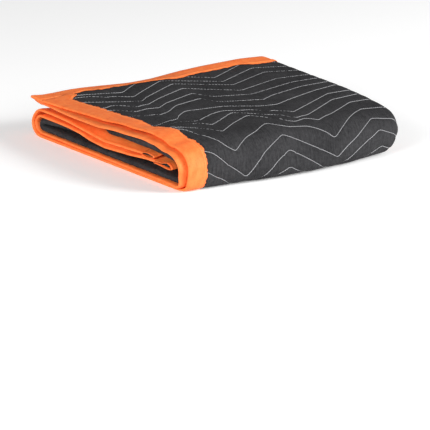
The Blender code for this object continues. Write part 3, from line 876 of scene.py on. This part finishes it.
def binding_material():
    """Orange felt-like binding, a little uneven in tone."""
    material, tree, shader = new_material("orange_binding")
    flat = add_node(tree, "ShaderNodeUVMap", uv_map="Flat").outputs["UV"]
    fibres = noise(tree, flat, scale=420.0, detail=3.0, roughness=0.7)
    cloud = noise(tree, flat, scale=45.0, detail=4.0, roughness=0.65)
    creases = noise(tree, stretched(tree, flat, 0.35, 1.0), scale=110.0, detail=3.0, roughness=0.6)
    tone = weighted(tree, (fibres, 0.4), (cloud, 0.6))
    relief = weighted(tree, (fibres, 0.3), (creases, 1.0))
    finish_look(tree, shader, tone, (0.33, 0.67), BINDING_TONES, relief, distance=0.003)
    tree.links.new(ramp(tree, fibres, (0.2, 0.8), (0.6, 0.8)), shader.inputs["Roughness"])
    set_inputs(shader, Specular_IOR_Level=0.5)
    return material


def thread_material(name, tones):
    material, tree, shader = new_material(name)
    position = add_node(tree, "ShaderNodeNewGeometry").outputs["Position"]
    strands = noise(tree, position, scale=900.0)
    finish_look(tree, shader, strands, (0.3, 0.7), tones, strands, distance=0.0002, strength=0.5)
    set_inputs(shader, Roughness=0.55, Specular_IOR_Level=0.4)
    return material


# Thread

def tube(points, normals, radius):
    """A closed thread of a few sides along a run of points."""
    along = np.gradient(points, axis=0)
    along /= np.linalg.norm(along, axis=1, keepdims=True)
    aside = np.cross(along, normals)
    aside /= np.linalg.norm(aside, axis=1, keepdims=True)
    above = np.cross(aside, along)
    angles = 2.0 * np.pi * (np.arange(THREAD_SIDES) + 0.5) / THREAD_SIDES
    ring = np.cos(angles)[:, None, None] * aside + np.sin(angles)[:, None, None] * above
    return (points[None] + radius * ring).transpose(1, 0, 2)


def swept_quads(count, size, start, reverse):
    """Side faces of rings swept one after the other."""
    ring = np.arange(count - 1)[:, None] * size + start
    corner = np.arange(size)[None]
    after = (corner + 1) % size
    quads = [ring + corner, ring + after, ring + size + after, ring + size + corner]
    if reverse:
        quads = quads[:1] + quads[:0:-1]
    return [tuple(q) for q in np.stack(quads, -1).reshape(-1, 4).tolist()]


def join_tubes(runs, radius):
    """Points and faces of many threads as one mesh."""
    points, faces, start = [], [], 0
    for run, normals in runs:
        rings = tube(run, normals, radius)
        count, sides = rings.shape[:2]
        points.append(rings.reshape(-1, 3))
        faces += swept_quads(count, sides, start, False)
        faces.append(tuple(range(start + sides - 1, start - 1, -1)))
        last = start + (count - 1) * sides
        faces.append(tuple(range(last, last + sides)))
        start += count * sides
    return np.concatenate(points), faces


def quilting_runs():
    """Every sewn line as a run of points just proud of its groove, dipping at each stitch."""
    runs = []
    under = STRIP_WIDTH - THREAD_TUCK
    for number in range(1, len(GUIDES) - 1):
        step = STITCH_LENGTH / len(STITCH_DIPS)
        corners = GUIDES[number][0]
        widths = np.unique(np.concatenate([np.arange(0.0, SHEET_WIDTH, step), corners]))
        widths = widths[within(widths, (under, SHEET_WIDTH - under))]
        station = guide_station(number, widths)
        inside = within(station, (under, SHEET_LENGTH - under))
        fine = (station < FINE_STATION) & (widths < PASS_STARTS[2])
        fine |= within(widths, PASS_STARTS[1:3])
        loop = PASS_STARTS[3] - THREAD_LOOP_REACH, PASS_STARTS[4] + THREAD_LOOP_REACH
        fine |= within(widths, loop)
        keep = np.flatnonzero(inside & (fine | (np.arange(len(widths)) % COARSE_STITCHES == 0)))
        edges = np.flatnonzero(np.diff(inside.astype(int)))
        for piece in np.split(keep, np.searchsorted(keep, edges + 1)):
            if len(piece) < LEAST_POINTS:
                continue
            width, at = widths[piece], station[piece]
            place, x = place_at(width), widths[piece] + LEFT_X
            bridged = BRIDGED_SHARE * np.maximum(-folds(at, x), 0.0)
            dip = np.array(STITCH_DIPS)[piece % len(STITCH_DIPS)] + bridged
            dip = dip - patches(SUNK_THREADS, x, at)
            dip = np.where(at > UNDERSIDE_STATION, UNDERSIDE_DIP, dip)
            dip = np.where(place > INSIDE_PLACE, INSIDE_DIP, dip)
            normal = outward(at, place)
            lift = (half_thickness(at, place, 1) + dip)[:, None]
            runs.append((middle(at, place) + normal * lift, normal))
    return runs


# Binding

STRIP_STEP = 4.0
STRIP_THICK = 1.0
STRIP_LIFT = 0.3
STRIP_CROWN = 0.7
STRIP_FACE = HALF_EDGE + STRIP_LIFT + STRIP_THICK
CROWN_SHOWN, CROWN_HIDDEN = 0.9, 0.3
CROWN_STRETCH, CROWN_SQUARENESS = 1.02, 0.8
SEAM_INSET, SEAM_DEPTH, SEAM_REACH = 5.0, 0.7, 1.6
SEAM_COLUMNS, SEAM_DIPS, SEAM_THREAD_RADIUS = (2, 3), (0.3, -0.35), 0.5
PUCKER_RISE, PUCKER_WAVE, PUCKER_BEND, PUCKER_BEND_WAVE = 0.5, 13.0, 2.5, 70.0
PUCKER_START, PUCKER_REACH = 6.0, 0.45
UNEVENNESS, UNEVEN_WAVE = 0.25, 40.0
# The shares of the turn round the cloth's edge at which a strip has points.
TURN_SHARES = (0.25, 0.5, 0.75)
# Rise, wave length and seed step of the waviness of the strips' inner edges.
EDGE_WAVES = ((2.2, 9.0, 7), (2.0, 60.0, 9))
CORNER_LIFT, CORNER_START, CORNER_FADE = 0.9, 4.0, 5.0

# How far the first side's binding reaches past its width next to the corner, by station, how such
# a patch is lifted onto the cloth, and how wide the outer end's binding is along X.
PATCH_REACH = (43, 66, 80), (22, 22, 0)
PATCH_LIFT_START, PATCH_FADE = 0.2, 4.0
END_WIDTHS_BY_X = (
    (-256, -215, -189, -158, -146, -131, -105, -76, -46, -14, 8,
     20, 30, 47, 69, 88, 116, 147, 184, 198, 219, 234, 267, 300),
    (43, 45, 50, 30, 36, 60, 50, 41, 54, 51, 55, 58,
     68, 69, 60, 56, 59, 57, 48, 48, 62, 68, 66, 43),
)

# The swollen open ends of the inner end's binding: where along it, centre and half reach from its
# inner edge, swelling of its two faces, and how soon it fades along the binding. The end with the
# last of them is also pushed out past the cloth.
SWELLS = (
    (0.0, 22.0, 14.0, 2.8, 2.8, 26.0),
    (SHEET_WIDTH, 33.0, 9.0, 1.2, 6.5, 24.0),
)
OPEN_END_REACH, WRAP_SHARE = 6.0, 0.4
END_PUSH, END_PUSH_FADE = 16.0, 34.0
ACROSS_STRIP = (0, 2, 4, 6, 9, 14, 20, 26, 32, 37, 41)
END_STRIP_STEPS = (132, 18, 120, 12, 110, 12, 125)


def jitter(length, wave, seed):
    """A smooth uneven line of about one unit, the same each time: four sines out of step."""
    value = np.zeros_like(length)
    for number in range(1, 5):
        phase = 1.7 * seed + 2.3 * number * number
        value = value + np.sin(2.0 * np.pi * length * number / (wave * 3.1) + phase) / number ** 0.5
    return value / 2.2


def strip_profile(length, seed, crown):
    """Half thickness of the strip's face at each distance from its inner edge, along it."""
    distance = np.array(ACROSS_STRIP)[None]
    share = distance / STRIP_WIDTH
    along = length[:, None]
    seam = bell(distance - SEAM_INSET, SEAM_REACH)
    bend = PUCKER_BEND * jitter(along, PUCKER_BEND_WAVE, seed)
    puckers = 0.5 + 0.5 * np.sin(2.0 * np.pi * along / PUCKER_WAVE + bend)
    fade = unit(share * PUCKER_START) * bell(share, PUCKER_REACH)
    arch = np.sin(np.pi * np.clip(share * CROWN_STRETCH, 0, 1)) ** CROWN_SQUARENESS
    profile = STRIP_FACE + crown * arch - SEAM_DEPTH * seam
    profile = profile + PUCKER_RISE * puckers * fade * crown / STRIP_CROWN
    return profile + UNEVENNESS * jitter(along, UNEVEN_WAVE, seed + 3)


def strip_sides(lengths, at_point, seed, crowns, extra=(0.0, 0.0), patch=0.0):
    """Rings of a U-shaped strip, outside first.

    at_point(lengths, reach) gives points and normals, reach being the distance from the cloth's
    edge. Extra is added to the two faces' profiles, and patch to the reach of the first face.
    """
    wave = sum(rise * jitter(lengths, length, seed + step) for rise, length, step in EDGE_WAVES)
    first, second = (strip_profile(lengths, seed + step, crown) + added
                     for step, crown, added in zip((0, 5), crowns, extra))
    reaches = [np.full_like(lengths, STRIP_WIDTH - distance) for distance in ACROSS_STRIP]
    reaches[0] -= wave
    rings = []
    for layer in (0.0, STRIP_THICK):
        ring = []
        for index, reach in enumerate(reaches):
            reach = reach + patch * (1.0 - ACROSS_STRIP[index] / STRIP_WIDTH)
            lift = smooth((reach - STRIP_WIDTH) / SHOULDER + PATCH_LIFT_START)
            lift = lift * (HALF_BODY + PUFF - HALF_EDGE) * unit(patch / PATCH_FADE)
            point, normal = at_point(lengths, reach)
            ring.append(point + normal * (first[:, index] + lift - layer)[:, None])
        for turn in TURN_SHARES:
            angle, radius = np.pi * turn, STRIP_FACE - layer
            point, normal = at_point(lengths, np.full_like(lengths, -radius * np.sin(angle)))
            ring.append(point + normal * radius * np.cos(angle))
        for index in reversed(range(len(reaches))):
            point, normal = at_point(lengths, reaches[index])
            ring.append(point - normal * (second[:, index] - layer)[:, None])
        rings.append(ring if layer == 0.0 else ring[::-1])
    return np.stack(rings[0] + rings[1], axis=1)


def swept(rings, closed_ends):
    """Faces of a closed ring swept along a strip; an open end shows the hollow of the U."""
    count, size = rings.shape[:2]
    faces = swept_quads(count, size, 0, True)
    last = (count - 1) * size
    half = size // 2
    for start in (0, last):
        for index in range((half - 1) // 2 if closed_ends else half - 1):
            other = half - 1 - index if closed_ends else size - 1 - index
            quad = (start + index, start + index + 1, start + other - 1, start + other)
            if index + 1 == other - 1:
                quad = quad[:2] + quad[3:]
            faces.append(quad if start == 0 else quad[::-1])
    return rings.reshape(-1, 3), faces


def side_strip(name, first_side, seed, crowns, material):
    base, sign = (0.0, 1.0) if first_side else (SECOND_EDGE, -1.0)
    pass_length = FIRST_PASS if first_side else SECOND_PASS
    start, stop = STRIP_WIDTH + STRIP_LIFT, SHEET_LENGTH - STRIP_WIDTH - STRIP_LIFT
    lengths = np.linspace(start, stop, int((stop - start) / STRIP_STEP))

    def at_point(length, reach):
        place = base + sign * reach / pass_length
        return middle(length, place), outward(length, place)

    patch = np.interp(lengths, *PATCH_REACH) if first_side else 0.0
    rings = strip_sides(lengths, at_point, seed, crowns, patch=patch)
    return finish_strip(name, rings, lengths, material, first_side, False)


def end_strip(name, at_start, seed, crowns, material):
    base, sign = (0.0, 1.0) if at_start else (SHEET_LENGTH, -1.0)
    wrap = STRIP_LIFT + STRIP_THICK if at_start else OPEN_END_REACH
    widths = [np.linspace(PASS_STARTS[part], PASS_STARTS[part + 1], steps, endpoint=False)
              for part, steps in enumerate(END_STRIP_STEPS)]
    after = [SHEET_WIDTH + WRAP_SHARE * wrap, SHEET_WIDTH + wrap]
    widths = np.concatenate([[-wrap, -WRAP_SHARE * wrap], *widths, after])
    push = 0.0 if at_start else END_PUSH * bell(widths - SHEET_WIDTH, END_PUSH_FADE)

    def at_point(width, reach):
        station = base + sign * (reach - push * smooth(1.0 - reach / STRIP_WIDTH))
        place = place_at(np.clip(width, 0.0, SHEET_WIDTH)) + np.clip(width, None, 0.0) / FIRST_PASS
        place = place + np.clip(width - SHEET_WIDTH, 0.0, None) / SECOND_PASS
        return middle(station, place), outward(station, place)

    if at_start:
        corner = smooth((STRIP_WIDTH + CORNER_START - widths) / CORNER_FADE)
        extra = (CORNER_LIFT * corner[:, None], 0.0)
        patch = np.interp(widths + LEFT_X, *END_WIDTHS_BY_X) - STRIP_WIDTH
    else:
        extra, patch = swelling(widths), 0.0
    rings = strip_sides(widths, at_point, seed, crowns, extra, patch)
    return finish_strip(name, rings, widths, material, not at_start, at_start)


def swelling(widths):
    """What the open ends add to the two faces of the inner end's binding."""
    first, second = np.zeros((2, len(widths), len(ACROSS_STRIP)))
    for at_width, centre, half_reach, first_face, second_face, fade in SWELLS:
        along = bell(widths - at_width, fade)[:, None]
        shape = along * bell(np.array(ACROSS_STRIP) - centre, half_reach)[None]
        first += first_face * shape
        second += second_face * shape
    return first, second


def seam_runs(rings):
    """The two rows of stitches that hold a strip, one near each inner edge, and their normals."""
    faces = len(ACROSS_STRIP)
    low, high = SEAM_COLUMNS
    last = 2 * faces + len(TURN_SHARES) - 1
    first = 0.5 * (rings[:, low] + rings[:, high])
    second = 0.5 * (rings[:, last - low] + rings[:, last - high])
    normal = first - second
    normal /= np.linalg.norm(normal, axis=1, keepdims=True)
    dips = np.array(SEAM_DIPS)[np.arange(len(rings)) % len(SEAM_DIPS)][:, None]
    return [(first + normal * dips, normal), (second - normal * dips, -normal)]


def finish_strip(name, rings, lengths, material, flip, closed_ends):
    seams.extend(seam_runs(rings))
    points, faces = swept(rings, closed_ends)
    if flip:
        faces = [face[::-1] for face in faces]
    made = new_object(name, points, faces, material)
    steps = np.linalg.norm(np.diff(rings[0], axis=0), axis=1)
    round_strip = np.concatenate([[0.0], np.cumsum(steps)])
    flat = np.stack(np.broadcast_arrays(round_strip[None], lengths[:, None]), axis=-1)
    add_flat_map(made, flat.reshape(-1, 2))
    return made


# The pad

cloth_look = cloth_material()
binding_look = binding_material()
quilting_look = thread_material("grey_thread", THREAD_TONES)
seam_look = thread_material("orange_thread", SEAM_THREAD_TONES)

points, faces, flat = cloth_mesh()
cloth = new_object("quilted_cloth", points, faces, cloth_look)
add_flat_map(cloth, flat)

thread_points, thread_faces = join_tubes(quilting_runs(), THREAD_RADIUS)
thread = new_object("quilting_thread", thread_points, thread_faces, quilting_look)

# Each strip adds its rows of stitches to the seams. The numbers 1 to 4 seed their unevenness.
seams = []
shown, hidden = (CROWN_SHOWN, CROWN_HIDDEN), (CROWN_HIDDEN, CROWN_HIDDEN)
strips = {
    "binding_end_outer": end_strip("binding_outer_end", True, 1, shown, binding_look),
    "binding_end_inner": end_strip("binding_inner_end", False, 2, hidden, binding_look),
    "binding_side_first": side_strip("binding_first_side", True, 3, shown, binding_look),
    "binding_side_second": side_strip("binding_second_side", False, 4, hidden, binding_look),
}

seam_points, seam_faces = join_tubes(seams, SEAM_THREAD_RADIUS)
seam_thread = new_object("binding_thread", seam_points, seam_faces, seam_look)

for piece in (cloth, thread, seam_thread, *strips.values()):
    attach(piece, "root")
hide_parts("quilted_pad")
for node, piece in strips.items():
    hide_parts(node)


# Studio

WORLD_STRENGTH = 0.27
FLOOR_HALF_SIDE, FLOOR_TONE, FLOOR_ROUGHNESS, FLOOR_GLOW = 12.0, 0.95, 0.8, 0.2
# Name, place, aim, size and power of each light.
LIGHTS = (
    ("key", (3.2, -4.0, 2.2), (0.0, 0.0, 0.05), (2.4, 2.2), 370.0),
    ("fill", (-4.8, -1.9, 1.9), (0.0, 0.0, 0.05), (3.2, 2.2), 250.0),
)


def floor():
    mesh = bpy.data.meshes.new("floor")
    side = FLOOR_HALF_SIDE
    corners = [(-side, -side, 0), (side, -side, 0), (side, side, 0), (-side, side, 0)]
    mesh.from_pydata(corners, [], [(0, 1, 2, 3)])
    made = add_object("floor", mesh)
    material, _, shader = new_material("white_floor")
    set_inputs(shader, Base_Color=(*[FLOOR_TONE] * 3, 1.0), Roughness=FLOOR_ROUGHNESS)
    set_inputs(shader, Emission_Color=(1.0, 1.0, 1.0, 1.0), Emission_Strength=FLOOR_GLOW)
    mesh.materials.append(material)


def area_light(name, place, aim, size, power):
    data = bpy.data.lights.new(name, "AREA")
    data.shape = "RECTANGLE"
    data.size, data.size_y = size
    data.energy = power
    made = add_object(name, data)
    made.location = place
    made.rotation_euler = (Vector(aim) - Vector(place)).to_track_quat("-Z", "Y").to_euler()


def camera():
    """Camera at the photograph's angle, distance and lens."""
    azimuth, elevation = np.radians(CAMERA_AZIMUTH), np.radians(CAMERA_ELEVATION)
    ahead = np.array([np.sin(azimuth), np.cos(azimuth), 0.0])
    right = np.array([np.cos(azimuth), -np.sin(azimuth), 0.0])
    forward = ahead * np.cos(elevation) - np.array([0.0, 0.0, np.sin(elevation)])
    up = ahead * np.sin(elevation) + np.array([0.0, 0.0, np.cos(elevation)])
    distance = CAMERA_FOCAL * CAMERA_SCALE
    aside, down = ((pixel - 0.5 * PICTURE_SIDE) / CAMERA_FOCAL for pixel in PAD_BASE_PIXEL)
    place = (-distance * (forward + aside * right - down * up) - ORIGIN) * MM
    data = bpy.data.cameras.new("camera")
    data.sensor_width = SENSOR
    data.lens = CAMERA_FOCAL * SENSOR / PICTURE_SIDE
    data.clip_start, data.clip_end = CAMERA_CLIP
    made = add_object("camera", data)
    turn = Matrix((right, up, -forward)).transposed()
    made.matrix_world = Matrix.Translation(Vector(place)) @ turn.to_4x4()
    bpy.context.scene.camera = made


def world():
    made = bpy.data.worlds.new("studio")
    made.use_nodes = True
    background = made.node_tree.nodes["Background"]
    set_inputs(background, Color=(1.0, 1.0, 1.0, 1.0), Strength=WORLD_STRENGTH)
    bpy.context.scene.world = made


floor()
world()
for light in LIGHTS:
    area_light(*light)
camera()
bpy.context.scene.view_settings.view_transform = "Standard"
